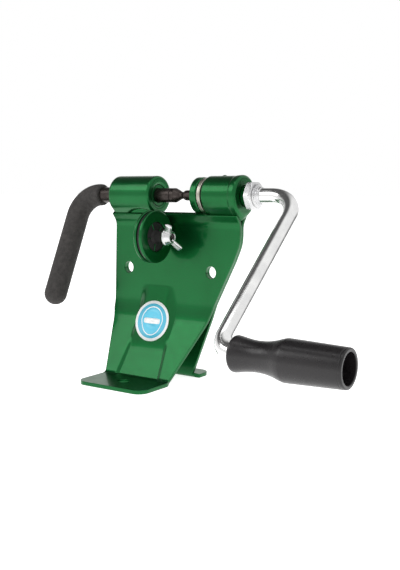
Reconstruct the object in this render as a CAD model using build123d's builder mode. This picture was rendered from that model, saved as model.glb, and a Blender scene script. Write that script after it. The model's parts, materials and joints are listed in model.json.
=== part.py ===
from build123d import *
import os
from math import cos, radians, sin, tan

os.makedirs("parts", exist_ok=True)

# ------------------------------------------------------------------ frame
# Millimetres. +X runs along the spindles from the feed handle to the crank, +Y to the back,
# +Z up. The origin is the centre of the front foot's bolt hole in the bench plane.

# ------------------------------------------------------------------ driving dimensions
SHEET = 3.0              # thickness of each pressed body sheet
JOINT_Y = 49.0           # plane in which the two sheets touch; the spindles lie in it
AXIS_Z = 150.0           # spindle height above the bench
CLEAR_RUN = 0.06         # radial running clearance of turning and sliding fits
SEAT = 0.02              # gap left between seated or pressed-in faces of one assembly
GAP_FACE = 0.3           # axial gap between faces that turn past each other

LEFT_X = -44.6           # left edge of the body
RIGHT_X = 79.5           # right edge of the body
BEND_Z = 53.0            # height at which the front leg leaves the joint plane
TOP_Z = AXIS_Z - 13.7 - 0.3 * SHEET      # top of the flared lips, just clear of the collar
LIP_OUT = 5.5            # how far each lip flares out of its sheet
LIP_RISE = 7.5           # height over which the lip flares
BEND_R = 4.5             # mid-sheet radius of every press-brake bend
LEG_TOE_Y = 15.0         # where the front leg meets its foot
LEG_RIGHT, LEG_LEFT = 32.0, 33.3     # reach of both legs either side of the bolt holes
FOOT_HALF = 33.5         # half width of the front foot
REAR_FOOT_HALF = 37.0
FOOT_FRONT_Y = -19.7     # front edge of the front foot
FOOT_REAR_Y = 70.0       # rear edge of the rear foot
FOOT_CORNER_R = 9.0
FOOT_HOLE_R = 5.0
REAR_HOLE_Y = 61.0
WALL_HOLE_R = 5.0        # two holes through both sheets
WALL_HOLE_SPAN = 84.0
WALL_HOLE_X = 10.5       # middle of the two-hole line
WALL_HOLE_Z = AXIS_Z - 61

PAD_TOP_Z = 75.0         # stiffening panel pressed across the front bend
PAD_KNEE_Z = 17.0
PAD_TILT = 17.0          # degrees from the vertical
PAD_HALF_TOP = 13.0
PAD_HALF_TOE = 21.5
LABEL_R = 16.5
LABEL_T = 0.3
LABEL_Z = 46.0

LB_X0, LB_X1, LB_R = -43.0, -0.3, 16.0      # left barrel
RB_X0, RB_X1, RB_R = 50.8, 82.5, 15.5       # right barrel
RB_RIM_R, RB_RIM = 16.4, 5.0                # flared rim at the right barrel's outer end
FEED_BUSH_R = 8.7
MAIN_BUSH_R = 8.0
OIL_R, OIL_H, OIL_X = 2.6, 1.8, 63.8
EDGE = 1.2               # broken edge of the barrels and the collar
DISC_R = 21.0            # chain support discs
NOTCH_X, NOTCH_Z, NOTCH_R = -13.5, AXIS_Z - 38, DISC_R + 6

FEED_R = 5.9             # feed spindle
HANDLE_R = 6.6           # bent steel handle
HANDLE_X = -84.7         # plane of the handle's arm
HANDLE_TILT = 24.0       # degrees forward of straight down
HANDLE_LEN = 92.0        # spindle axis to the middle of the domed end
HANDLE_BEND_R = 20.0
SLEEVE_R = 9.6
SLEEVE_X = -61.0
SOCKET_X = -44.0         # where the handle rod takes over from the feed spindle
TENON, TENON_R = 14.0, 4.0
CROSS_PIN_R = 1.6
PIVOT, PIVOT_R = 6.0, 2.4
PUNCH_X0, CONE_X, PUNCH_TIP = 13.0, 15.5, 24.0
PUNCH_TIP_R = 2.6
TIP_X = 25.0             # nose of the spinner, 1 mm off the punch
FEED_PITCH = 2.0         # recorded for the coupling of turn and travel

SHAFT_R = 5.0
SHAFT_X0 = 33.0
CRANK_TENON_R = 3.0
SPIN_NOSE_R, SPIN_BODY_R = 2.9, 4.2
COLLAR_X0, COLLAR_X1, COLLAR_R = 39.3, 45.6, 14.8
RING_X0, RING_X1, RING_R = 46.0, 49.8, 14.2
NUT_X0, NUT_X1, NUT_AF = 87.0, 93.0, 21.0
SEAT_X1, SEAT_R = 97.0, SHAFT_R + 1.3
CRANK_R = SHAFT_R + 1    # bar a size up from the shaft
CRANK_X = 130.0          # plane of the crank's arm
CRANK_TILT = 49.0        # degrees forward of straight down
CRANK_LEN = 148.0
CRANK_BEND_R, CRANK_FOOT_R = 24.0, 13.0     # bends at the shaft and at the grip
GRIP_X0, GRIP_X1 = 143.5, 221.5
GRIP_HOLLOW_X, GRIP_HOLLOW_R = 186.0, 9.8
GRIP_PROFILE = [(GRIP_X0, 11.2), (145.0, 11.8), (147.5, 11.6), (151.0, 10.3), (155.0, 9.7), (161.0, 9.9),
                (167.0, 10.6), (172.0, 11.7), (177.0, 13.0), (180.0, 13.5), (184.0, 13.6), (217.0, 12.6),
                (220.5, 12.4), (GRIP_X1, 11.8)]
CRANK_END_X = 191.0

DISC_Y, DISC_Z = JOINT_Y - SHEET - DISC_R - 1.5, AXIS_Z - 32.5
DISC_X0, DISC_T = 8.8, 2.6
RING2_T, RING2_R = 2.7, DISC_R - 0.6
INSERT_R, INSERT_T, RIBS = 11.7, 1.6, 5
STUD_R = 3.0
HUB_X1, HUB_R = 23.0, 4.4
LUG_T, LUG_R = 5.0, 9.0
WING_X0, WING_X1 = 24.8, 31.8
WING_T = 2.4
WING_TILT = -51.0        # degrees from +Y towards +Z of the lower wing
WING_OUTLINE = [(25.4, 4.2), (30.6, 3.6), (35.9, 9.4), (36.2, 12.2), (33.6, 14.4), (30.8, 13.0)]

INNER_Y = JOINT_Y - SHEET            # outer face of the front sheet
OUTER_Y = JOINT_Y + SHEET            # outer face of the rear sheet
MID_F, MID_R = JOINT_Y - SHEET / 2, JOINT_Y + SHEET / 2
SPINDLE = (0, JOINT_Y, AXIS_Z)

crank_y = JOINT_Y - CRANK_LEN * sin(radians(CRANK_TILT))
crank_z = AXIS_Z - CRANK_LEN * cos(radians(CRANK_TILT))
handle_y = JOINT_Y - HANDLE_LEN * sin(radians(HANDLE_TILT))
handle_z = AXIS_Z - HANDLE_LEN * cos(radians(HANDLE_TILT))


def along_x(x, y=JOINT_Y, z=AXIS_Z):
    """Plane at x whose normal is +X, local x to +Y and local y to +Z."""
    return Plane(origin=(x, y, z), x_dir=(0, 1, 0), z_dir=(1, 0, 0))


def rod(x0, x1, r, y=JOINT_Y, z=AXIS_Z, mode=Mode.ADD):
    """Solid round bar along X inside the open part."""
    with BuildSketch(along_x(x0, y, z)) as disc:
        Circle(r)
    extrude(disc.sketch, amount=x1 - x0, mode=mode)


def tube(x0, x1, r_out, r_in, y=JOINT_Y, z=AXIS_Z):
    """Round tube along X inside the open part."""
    rod(x0, x1, r_out, y, z)
    rod(x0, x1, r_in, y, z, mode=Mode.SUBTRACT)


def save(part, label):
    part.part.label = label
    export_step(part.part, f"parts/{label}.step")


# ------------------------------------------------------------------ pressed sheets
def right_edge():
    """Right-hand outline shared by both sheets, from the toe of the leg up to the lip."""
    return [(LEG_RIGHT, 0), (LEG_RIGHT, SHEET), (LEG_RIGHT + 19, BEND_Z - 3), (LEG_RIGHT + 23.3, BEND_Z + 9.4),
            (RIGHT_X - 6.3, WALL_HOLE_Z + 9), (RIGHT_X, WALL_HOLE_Z + 24), (RIGHT_X, TOP_Z + 6)]


def left_edge():
    return [(LEFT_X, TOP_Z + 6), (LEFT_X, TOP_Z - 8), (LEFT_X - 2.3, BEND_Z), (-LEG_LEFT, SHEET), (-LEG_LEFT, 0)]


def trim_to_outline(foot_half):
    """Cut the open sheet to the shared front-view outline; the foot keeps its own width."""
    with BuildSketch(Plane.XZ.offset(-2 * JOINT_Y)) as view:
        with BuildLine():
            Polyline(*right_edge(), *left_edge(), close=True)
        make_face()
        fillet([v for v in view.vertices() if abs(v.X - RIGHT_X) < 1e-6 and v.Z < TOP_Z - 10], 14)
        with Locations((0, SHEET / 2)):
            Rectangle(2 * foot_half, SHEET)
    extrude(view.sketch, amount=4 * JOINT_Y, mode=Mode.INTERSECT)


def clear_barrels():
    rod(LB_X0 - SEAT, LB_X1 + SEAT, LB_R + SEAT, mode=Mode.SUBTRACT)
    rod(RB_X0 - SEAT, RB_X1, RB_R + SEAT, mode=Mode.SUBTRACT)
    rod(RB_X1 - RB_RIM - EDGE, RB_X1 + SEAT, RB_RIM_R + SEAT, mode=Mode.SUBTRACT)


def wall_holes():
    with BuildSketch(Plane.XZ.offset(-2 * JOINT_Y)) as holes:
        with Locations((WALL_HOLE_X - WALL_HOLE_SPAN / 2, WALL_HOLE_Z),
                       (WALL_HOLE_X + WALL_HOLE_SPAN / 2, WALL_HOLE_Z)):
            Circle(WALL_HOLE_R)
    extrude(holes.sketch, amount=4 * JOINT_Y, mode=Mode.SUBTRACT)


def foot_hole(y):
    with BuildSketch(Plane.XY) as hole:
        with Locations((0, y)):
            Circle(FOOT_HOLE_R)
    extrude(hole.sketch, amount=SHEET, mode=Mode.SUBTRACT)


pad_knee_y = MID_F - (PAD_TOP_Z - PAD_KNEE_Z) * tan(radians(PAD_TILT))
FULL_X = 3 * RIGHT_X


def pad_prism(inset, mode):
    """Apply the front-view trapezium of the pressed panel, drawn in from its edge by inset."""
    with BuildSketch(Plane.XZ.offset(-2 * JOINT_Y)) as outline:
        with BuildLine():
            Polyline((-PAD_HALF_TOP + inset, PAD_TOP_Z - inset), (PAD_HALF_TOP - inset, PAD_TOP_Z - inset),
                     (PAD_HALF_TOE - inset, SHEET), (-PAD_HALF_TOE + inset, SHEET), close=True)
        make_face()
    extrude(outline.sketch, amount=4 * JOINT_Y, mode=mode)


def offset_line(points, d):
    """Points of a YZ line moved sideways by d, with mitred corners."""
    v = [Vector(*p) for p in points]
    dirs = [(b - a).normalized() for a, b in zip(v, v[1:])]
    sides = [Vector(-u.Y, u.X) for u in dirs]
    out = [v[0] + sides[0] * d]
    for p, s0, s1 in zip(v[1:-1], sides, sides[1:]):
        out.append(p + (s0 + s1) * (d / (1 + s0.dot(s1))))
    out.append(v[-1] + sides[-1] * d)
    return out


def yz_sheet(points, width, radius=BEND_R):
    """Sheet of the given width following a line in the YZ plane, across the whole body."""
    left, right = offset_line(points, width / 2), offset_line(points, -width / 2)
    with BuildSketch(Plane.YZ.offset(-FULL_X / 2)) as section:
        with BuildLine():
            Polyline(*[(p.X, p.Y) for p in left + right[::-1]], close=True)
        make_face()
        for i in range(1, len(points) - 1):
            a, b, c = (Vector(*points[k]) for k in (i - 1, i, i + 1))
            turn = (b - a).cross(c - b).Z
            for side, sign in ((left, 1), (right, -1)):
                r = radius - width / 2 if turn * sign > 0 else radius + width / 2
                corner = [v for v in section.vertices()
                          if abs(v.Y - side[i].X) < 1e-4 and abs(v.Z - side[i].Y) < 1e-4]
                fillet(corner, r)
    extrude(section.sketch, amount=FULL_X)


front_line = [(FOOT_FRONT_Y, SHEET / 2), (LEG_TOE_Y + SHEET / 2, SHEET / 2), (MID_F, BEND_Z),
              (MID_F, TOP_Z - LIP_RISE), (MID_F - LIP_OUT, TOP_Z)]
pad_line = [(MID_F, PAD_TOP_Z), (pad_knee_y, PAD_KNEE_Z), (LEG_TOE_Y + SHEET / 2 + 1, SHEET - 0.6)]
leg_slope = (MID_F - front_line[1][0]) / (BEND_Z - front_line[1][1])
pad_slope = (MID_F - pad_knee_y) / (PAD_TOP_Z - PAD_KNEE_Z)
# Height at which the panel's plane passes through the leg's plane.
cross_z = (leg_slope * BEND_Z - pad_slope * PAD_TOP_Z) / (leg_slope - pad_slope)
cross = (MID_F - pad_slope * (PAD_TOP_Z - cross_z), cross_z)

# Floor of the panel: the sheet bridges the bend in a flatter plane than the leg.
with BuildPart() as pad_floor:
    yz_sheet(pad_line, SHEET, 8)
    pad_prism(0, Mode.INTERSECT)

# Cheeks of the panel: the walls between its floor and the leg on either side, above the
# height where the two planes cross (panel proud of the leg) and below it (panel sunk).
with BuildPart() as pad_cheeks:
    for corners in ((pad_line[0], cross, (MID_F, BEND_Z)), (cross, pad_line[1], pad_line[2])):
        with BuildSketch(Plane.YZ.offset(-FULL_X / 2)):
            with BuildLine():
                Polyline(*corners, close=True)
            make_face()
        extrude(amount=FULL_X)
    pad_prism(0, Mode.INTERSECT)
    pad_prism(SHEET * 0.8, Mode.SUBTRACT)

with BuildPart() as front_plate:
    yz_sheet(front_line, SHEET)
    trim_to_outline(FOOT_HALF)
    pad_prism(SHEET * 0.8, Mode.SUBTRACT)
    add(pad_floor.part)
    add(pad_cheeks.part)
    with BuildSketch(Plane.XY.offset(-1)):
        with Locations((0, (JOINT_Y + FOOT_FRONT_Y) / 2 - 20)):
            Rectangle(4 * FOOT_HALF, 4 * FOOT_HALF)
    extrude(amount=1, mode=Mode.SUBTRACT)
    fillet(front_plate.edges().filter_by(Axis.Z).filter_by_position(Axis.Y, FOOT_FRONT_Y - 0.1,
                                                                   FOOT_FRONT_Y + 0.1), FOOT_CORNER_R)
    clear_barrels()
    wall_holes()
    foot_hole(0)
save(front_plate, "front_plate")

with BuildPart() as rear_plate:
    yz_sheet([(FOOT_REAR_Y, SHEET / 2), (MID_R, SHEET / 2), (MID_R, TOP_Z - LIP_RISE),
              (MID_R + LIP_OUT, TOP_Z)], SHEET)
    trim_to_outline(REAR_FOOT_HALF)
    fillet(rear_plate.edges().filter_by(Axis.Z).filter_by_position(Axis.Y, FOOT_REAR_Y - 0.1,
                                                                  FOOT_REAR_Y + 0.1), FOOT_CORNER_R / 2)
    clear_barrels()
    wall_holes()
    foot_hole(REAR_HOLE_Y)
save(rear_plate, "rear_plate")


# ------------------------------------------------------------------ barrels and bushes
def turned(profile, y=JOINT_Y, z=AXIS_Z, mode=Mode.ADD):
    """Solid of revolution about a line along X, from (x, radius) points, closed on the axis."""
    with BuildSketch(Plane(origin=(0, y, z), x_dir=(1, 0, 0), z_dir=(0, -1, 0))) as half:
        with BuildLine():
            Polyline((profile[0][0], 0), *profile, (profile[-1][0], 0), close=True)
        make_face()
    revolve(half.sketch, axis=Axis((0, y, z), (1, 0, 0)), mode=mode)


with BuildPart() as left_barrel:
    turned([(LB_X0, LB_R - EDGE), (LB_X0 + EDGE, LB_R), (LB_X1 - EDGE, LB_R), (LB_X1, LB_R - EDGE)])
    rod(LB_X0, LB_X1, FEED_BUSH_R, mode=Mode.SUBTRACT)
    # Flat scalloped into the underside where the support discs and the chain swing past.
    with BuildSketch(Plane.XZ.offset(-INNER_Y)):
        with Locations((NOTCH_X, NOTCH_Z)):
            Circle(NOTCH_R)
    extrude(amount=LB_R * 2, mode=Mode.SUBTRACT)
save(left_barrel, "left_barrel")

with BuildPart() as right_barrel:
    turned([(RB_X0, RB_R - EDGE), (RB_X0 + EDGE, RB_R), (RB_X1 - RB_RIM - EDGE, RB_R), (RB_X1 - RB_RIM + EDGE, RB_RIM_R),
            (RB_X1 - EDGE, RB_RIM_R), (RB_X1, RB_RIM_R - EDGE)])
    rod(RB_X0, RB_X1, MAIN_BUSH_R, mode=Mode.SUBTRACT)
    with BuildSketch(Plane(origin=(OIL_X, JOINT_Y, AXIS_Z + MAIN_BUSH_R))):
        Circle(OIL_R / 2)
    extrude(amount=RB_R, mode=Mode.SUBTRACT)
save(right_barrel, "right_barrel")

with BuildPart() as feed_bush:
    tube(LB_X0 + 1, LB_X1 + 0.6, FEED_BUSH_R - SEAT, FEED_R + CLEAR_RUN)
    chamfer(feed_bush.edges().filter_by(GeomType.CIRCLE).filter_by(lambda e: e.radius > FEED_R + 1), 0.5)
save(feed_bush, "feed_bush")

with BuildPart() as inner_bush:
    tube(RB_X0 + 0.4, RB_X0 + 12, MAIN_BUSH_R - SEAT, SHAFT_R + CLEAR_RUN)
save(inner_bush, "inner_bush")

with BuildPart() as outer_bush:
    tube(RB_X1 - 12, RB_X1 + 0.1, MAIN_BUSH_R - SEAT, SHAFT_R + CLEAR_RUN)
    tube(RB_X1 + SEAT, NUT_X0 - GAP_FACE, MAIN_BUSH_R + 2, SHAFT_R + CLEAR_RUN)
save(outer_bush, "outer_bush")

with BuildPart() as oil_cup:
    with BuildSketch(Plane(origin=(OIL_X, JOINT_Y, AXIS_Z + RB_R - 3))):
        Circle(OIL_R / 2 - SEAT)
    extrude(amount=3 + SEAT)
    with BuildSketch(Plane(origin=(OIL_X, JOINT_Y, AXIS_Z + RB_R + SEAT))):
        Circle(OIL_R)
    extrude(amount=OIL_H)
    fillet(oil_cup.edges().group_by(Axis.Z)[-1], 0.6)
save(oil_cup, "oil_cup")

with BuildPart() as safety_label:
    tilt = radians(PAD_TILT)
    centre_y = MID_F - pad_slope * (PAD_TOP_Z - LABEL_Z)
    face = Vector(0, -cos(tilt), sin(tilt))
    with BuildSketch(Plane(origin=Vector(0, centre_y, LABEL_Z) + face * (SHEET / 2), x_dir=(1, 0, 0), z_dir=face)):
        Circle(LABEL_R)
    extrude(amount=LABEL_T)
save(safety_label, "safety_label")

# ------------------------------------------------------------------ feed screw, punch and handle
with BuildPart() as feed_spindle:
    rod(SOCKET_X + SEAT, PUNCH_X0 - GAP_FACE, FEED_R)
    rod(SOCKET_X - TENON, SOCKET_X + SEAT, TENON_R)
    rod(PUNCH_X0 - GAP_FACE, PUNCH_X0 + PIVOT - 2 * GAP_FACE, PIVOT_R)
    with BuildSketch(Plane(origin=(SOCKET_X - TENON / 2, JOINT_Y, AXIS_Z - HANDLE_R))):
        Circle(CROSS_PIN_R)
    extrude(amount=2 * HANDLE_R, mode=Mode.SUBTRACT)
save(feed_spindle, "feed_spindle")

with BuildPart() as punch:
    turned([(PUNCH_X0, FEED_R), (CONE_X, FEED_R), (PUNCH_TIP, PUNCH_TIP_R)])
    rod(PUNCH_X0, PUNCH_X0 + PIVOT, PIVOT_R + CLEAR_RUN, mode=Mode.SUBTRACT)
save(punch, "punch")

handle_path = [(SOCKET_X, JOINT_Y, AXIS_Z), (HANDLE_X, JOINT_Y, AXIS_Z), (HANDLE_X, handle_y, handle_z)]
with BuildPart() as handle_rod:
    with BuildLine():
        FilletPolyline(*handle_path, radius=HANDLE_BEND_R)
    with BuildSketch(Plane(origin=handle_path[0], z_dir=(-1, 0, 0))):
        Circle(HANDLE_R)
    sweep()
    rod(SOCKET_X - TENON - GAP_FACE, SOCKET_X, TENON_R + SEAT, mode=Mode.SUBTRACT)
    with BuildSketch(Plane(origin=(SOCKET_X - TENON / 2, JOINT_Y, AXIS_Z - HANDLE_R))):
        Circle(CROSS_PIN_R)
    extrude(amount=2 * HANDLE_R, mode=Mode.SUBTRACT)
save(handle_rod, "handle_rod")

with BuildPart() as cross_pin:
    with BuildSketch(Plane(origin=(SOCKET_X - TENON / 2, JOINT_Y, AXIS_Z - HANDLE_R + 0.4))):
        Circle(CROSS_PIN_R - SEAT)
    extrude(amount=2 * HANDLE_R - 0.8)
save(cross_pin, "cross_pin")

sleeve_path = [(SLEEVE_X, JOINT_Y, AXIS_Z)] + handle_path[1:]
with BuildPart() as handle_sleeve:
    with BuildLine():
        FilletPolyline(*sleeve_path, radius=HANDLE_BEND_R)
    with BuildSketch(Plane(origin=sleeve_path[0], z_dir=(-1, 0, 0))):
        Circle(SLEEVE_R)
    sweep()
    with Locations(sleeve_path[-1]):
        Sphere(SLEEVE_R)
    add(handle_rod.part, mode=Mode.SUBTRACT)
save(handle_sleeve, "handle_sleeve")

# ------------------------------------------------------------------ spinner, nut and crank
with BuildPart() as spinner_tip:
    turned([(TIP_X, SPIN_NOSE_R), (TIP_X + 2.5, SPIN_BODY_R), (SHAFT_X0 - SEAT, SPIN_BODY_R)])
    rod(SHAFT_X0 - SEAT, SHAFT_X0 + TENON / 2, PIVOT_R)
save(spinner_tip, "spinner_tip")

with BuildPart() as spinner_shaft:
    rod(SHAFT_X0, SEAT_X1, SHAFT_R)
    rod(SEAT_X1, SEAT_X1 + TENON / 2, CRANK_TENON_R)
    rod(SHAFT_X0, SHAFT_X0 + TENON / 2 + GAP_FACE, PIVOT_R + SEAT, mode=Mode.SUBTRACT)
save(spinner_shaft, "spinner_shaft")

with BuildPart() as drive_collar:
    turned([(COLLAR_X0, COLLAR_R - EDGE), (COLLAR_X0 + EDGE, COLLAR_R), (COLLAR_X1, COLLAR_R)])
    rod(COLLAR_X0, COLLAR_X1, SHAFT_R + SEAT, mode=Mode.SUBTRACT)
    with BuildSketch(Plane(origin=((COLLAR_X0 + COLLAR_X1) / 2, JOINT_Y, AXIS_Z))):
        Circle(CROSS_PIN_R)
    extrude(amount=-COLLAR_R, mode=Mode.SUBTRACT)
save(drive_collar, "drive_collar")

with BuildPart() as collar_screw:
    with BuildSketch(Plane(origin=((COLLAR_X0 + COLLAR_X1) / 2, JOINT_Y, AXIS_Z - SHAFT_R - SEAT))):
        Circle(CROSS_PIN_R - SEAT)
    extrude(amount=-(COLLAR_R - SHAFT_R - 1))
save(collar_screw, "collar_screw")

with BuildPart() as thrust_ring:
    tube(RING_X0, RING_X1, RING_R, SHAFT_R + SEAT)
    fillet(thrust_ring.edges().filter_by(GeomType.CIRCLE).filter_by(lambda e: e.radius > SHAFT_R + 1), 1.0)
save(thrust_ring, "thrust_ring")

with BuildPart() as lock_nut:
    with BuildSketch(along_x(NUT_X0, JOINT_Y, AXIS_Z)):
        RegularPolygon(NUT_AF / 2, 6, major_radius=False, rotation=0)
    extrude(amount=NUT_X1 - NUT_X0)
    turned([(NUT_X0 - 1, NUT_AF), (NUT_X1 - 1.6, NUT_AF / 2 + 2.2), (NUT_X1, NUT_AF / 2 - 0.4)],
           mode=Mode.INTERSECT)
    rod(NUT_X0, NUT_X1, SHAFT_R + SEAT, mode=Mode.SUBTRACT)
save(lock_nut, "lock_nut")

with BuildPart() as crank_collar:
    tube(NUT_X1 + SEAT, SEAT_X1 - SEAT, SEAT_R, SHAFT_R + SEAT)
save(crank_collar, "crank_collar")

crank_path = [(SEAT_X1 + SEAT, JOINT_Y, AXIS_Z), (CRANK_X, JOINT_Y, AXIS_Z), (CRANK_X, crank_y, crank_z),
              (CRANK_END_X, crank_y, crank_z)]
with BuildPart() as crank_rod:
    with BuildLine():
        FilletPolyline(*crank_path, radius=(CRANK_BEND_R, CRANK_FOOT_R))
    with BuildSketch(Plane(origin=crank_path[0], z_dir=(1, 0, 0))):
        Circle(CRANK_R)
    sweep()
    rod(SEAT_X1, SEAT_X1 + TENON / 2 + GAP_FACE, CRANK_TENON_R + SEAT, mode=Mode.SUBTRACT)
save(crank_rod, "crank_rod")

with BuildPart() as crank_grip:
    turned(GRIP_PROFILE, crank_y, crank_z)
    rod(GRIP_X0, GRIP_X1, CRANK_R + CLEAR_RUN, crank_y, crank_z, mode=Mode.SUBTRACT)
    rod(GRIP_HOLLOW_X, GRIP_X1, GRIP_HOLLOW_R, crank_y, crank_z, mode=Mode.SUBTRACT)
save(crank_grip, "crank_grip")

with BuildPart() as grip_washer:
    tube(GRIP_HOLLOW_X + GAP_FACE, GRIP_HOLLOW_X + 1.8, GRIP_HOLLOW_R - 1.4, CRANK_R + SEAT, crank_y, crank_z)
save(grip_washer, "grip_washer")

with BuildPart() as grip_clip:
    tube(GRIP_HOLLOW_X + 1.8 + SEAT, GRIP_HOLLOW_X + 4, CRANK_R + 2, CRANK_R + SEAT, crank_y, crank_z)
save(grip_clip, "grip_clip")

# ------------------------------------------------------------------ chain support discs
disc_x1 = DISC_X0 + DISC_T
ring2_x1 = disc_x1 + RING2_T
front_x1 = ring2_x1 + DISC_T
HUB = (DISC_Y, DISC_Z)

with BuildPart() as disc_lug:
    with BuildSketch(along_x(DISC_X0 - GAP_FACE - LUG_T, *HUB)):
        Circle(LUG_R)
        with Locations(((INNER_Y - DISC_Y) / 2 - SEAT / 2, 0)):
            Rectangle(INNER_Y - DISC_Y - SEAT, 2 * LUG_R)
    extrude(amount=LUG_T)
    rod(DISC_X0 - GAP_FACE - LUG_T, DISC_X0, STUD_R + SEAT, *HUB, mode=Mode.SUBTRACT)
save(disc_lug, "disc_lug")

with BuildPart() as disc_stud:
    rod(DISC_X0 - GAP_FACE - LUG_T - 1, WING_X1 - 2, STUD_R, *HUB)
    rod(DISC_X0 - GAP_FACE - LUG_T - 3, DISC_X0 - GAP_FACE - LUG_T - SEAT, STUD_R + 2.5, *HUB)
save(disc_stud, "disc_stud")

with BuildPart() as rear_disc:
    tube(DISC_X0, disc_x1 - SEAT, DISC_R, STUD_R + CLEAR_RUN, *HUB)
    fillet(rear_disc.edges().filter_by(GeomType.CIRCLE).filter_by(lambda e: e.radius > DISC_R / 2), 0.8)
save(rear_disc, "rear_disc")

with BuildPart() as spacer_ring:
    tube(disc_x1, ring2_x1 - SEAT, RING2_R, STUD_R + CLEAR_RUN, *HUB)
save(spacer_ring, "spacer_ring")

with BuildPart() as front_disc:
    tube(ring2_x1, front_x1, DISC_R, INSERT_R + SEAT, *HUB)
    fillet(front_disc.edges().filter_by(GeomType.CIRCLE).filter_by(lambda e: e.radius > INSERT_R + 1), 0.9)
save(front_disc, "front_disc")

with BuildPart() as hub_insert:
    rod(ring2_x1, ring2_x1 + INSERT_T, INSERT_R, *HUB)
    with BuildSketch(along_x(ring2_x1 + INSERT_T, *HUB)):
        with PolarLocations(INSERT_R / 2, RIBS, start_angle=115):
            Rectangle(INSERT_R - 1, 0.7)
    extrude(amount=0.6)
    rod(ring2_x1, HUB_X1, HUB_R, *HUB)
    rod(ring2_x1, HUB_X1, STUD_R + CLEAR_RUN, *HUB, mode=Mode.SUBTRACT)
save(hub_insert, "hub_insert")

with BuildPart() as nut_washer:
    tube(HUB_X1 + GAP_FACE, WING_X0 - GAP_FACE, HUB_R + 1.4, STUD_R + CLEAR_RUN, *HUB)
save(nut_washer, "nut_washer")

with BuildPart() as wing_nut:
    turned([(WING_X0, 6.4), (WING_X0 + 0.6, 6.9), (WING_X0 + 2, 6.9), (WING_X1, 4.4)], *HUB)
    for turn in (WING_TILT, WING_TILT + 180):
        with BuildSketch(Plane(origin=(0, *HUB), x_dir=(1, 0, 0),
                               z_dir=(0, sin(radians(turn)), -cos(radians(turn))))) as blade:
            with BuildLine():
                Polyline(*WING_OUTLINE, close=True)
            make_face()
            fillet(blade.vertices().group_by(Axis.X)[-1], 1.0)
        extrude(amount=WING_T / 2, both=True)
    rod(WING_X0, WING_X1, STUD_R + CLEAR_RUN, *HUB, mode=Mode.SUBTRACT)
save(wing_nut, "wing_nut")
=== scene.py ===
import json
import bmesh
import bpy
import numpy as np
from mathutils import Matrix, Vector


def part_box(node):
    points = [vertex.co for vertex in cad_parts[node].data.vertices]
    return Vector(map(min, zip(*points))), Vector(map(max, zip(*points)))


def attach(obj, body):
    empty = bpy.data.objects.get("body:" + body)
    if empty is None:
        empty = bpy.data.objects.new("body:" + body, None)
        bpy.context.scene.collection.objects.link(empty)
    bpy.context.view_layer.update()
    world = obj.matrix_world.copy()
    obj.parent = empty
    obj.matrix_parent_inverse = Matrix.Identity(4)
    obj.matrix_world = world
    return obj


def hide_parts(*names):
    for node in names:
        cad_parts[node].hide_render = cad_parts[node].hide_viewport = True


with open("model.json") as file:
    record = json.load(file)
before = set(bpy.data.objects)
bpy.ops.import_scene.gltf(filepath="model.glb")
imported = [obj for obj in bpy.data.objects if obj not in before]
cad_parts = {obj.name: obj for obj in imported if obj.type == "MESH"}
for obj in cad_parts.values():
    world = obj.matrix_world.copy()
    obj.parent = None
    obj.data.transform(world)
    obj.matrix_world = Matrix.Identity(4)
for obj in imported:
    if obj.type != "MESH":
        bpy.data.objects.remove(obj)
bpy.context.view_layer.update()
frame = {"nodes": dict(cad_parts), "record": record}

# Shapes are worked out in millimetres in the row frame (+X from the feed handle to the crank,
# +Y to the back, +Z up) and turned into metres when a mesh is made.
MM = 0.001


def box_mm(node):
    """Lowest and highest corner of a CAD node, in millimetres."""
    lo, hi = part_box(node)
    return np.array(lo) / MM, np.array(hi) / MM


# ------------------------------------------------------------------ measures read from the CAD
LB_LO, LB_HI = box_mm("left_barrel")
RB_LO, RB_HI = box_mm("right_barrel")
AXIS_Y, AXIS_Z = (LB_LO[1] + LB_HI[1]) / 2, (LB_LO[2] + LB_HI[2]) / 2
FRONT_LO = box_mm("front_plate")[0]
REAR_HI = box_mm("rear_plate")[1]
DISC_LO, DISC_HI = box_mm("rear_disc")
DISC_Y, DISC_Z = (DISC_LO[1] + DISC_HI[1]) / 2, (DISC_LO[2] + DISC_HI[2]) / 2
GRIP_LO, GRIP_HI = box_mm("crank_grip")
GRIP_Y, GRIP_Z = (GRIP_LO[1] + GRIP_HI[1]) / 2, (GRIP_LO[2] + GRIP_HI[2]) / 2
LABEL_LO, LABEL_HI = box_mm("safety_label")
SPINDLE_LO = box_mm("feed_spindle")[0]
PUNCH_LO, PUNCH_HI = box_mm("punch")
NUT_LO, NUT_HI = box_mm("lock_nut")
WING_LO = box_mm("wing_nut")[0]
ROD_HI = box_mm("crank_rod")[1]
SLEEVE_HI = box_mm("handle_sleeve")[1]

SHEET = 3.0              # thickness of each pressed sheet
BEND_Z = 53.0            # where the front leg leaves the upright
LIP_OUT, LIP_RISE = 5.5, 7.5
TOP_Z = 135.4            # free edge of both lips
TOE_Y = 16.5             # middle of the sheet where the front leg meets its foot
FRONT_FOOT_HALF, REAR_FOOT_HALF, FOOT_CORNER = 33.5, 37.0, 9.0
WALL_HOLES, WALL_HOLE_Z, HOLE_R = (-31.5, 52.5), 89.0, 5.0
REAR_HOLE_Y = 61.0
PAD_TOP_Z, PAD_DEPTH, PAD_TILT = 75.0, 2.2, np.radians(17)
PAD_HALF_TOP, PAD_HALF_TOE = 13.0, 21.5
MID_FRONT, MID_REAR = AXIS_Y - SHEET / 2, AXIS_Y + SHEET / 2
SHAFT_FIT, STUD_FIT = 5.02, 3.06    # bores of what turns on the shaft and on the stud
SPINDLE_R, BAR_R, DISC_R = 5.9, 6.0, 21.0

# ------------------------------------------------------------------ finishes
NODE = {"noise": "ShaderNodeTexNoise", "ramp": "ShaderNodeValToRGB", "bump": "ShaderNodeBump",
        "range": "ShaderNodeMapRange", "coords": "ShaderNodeTexCoord", "mapping": "ShaderNodeMapping"}


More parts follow.
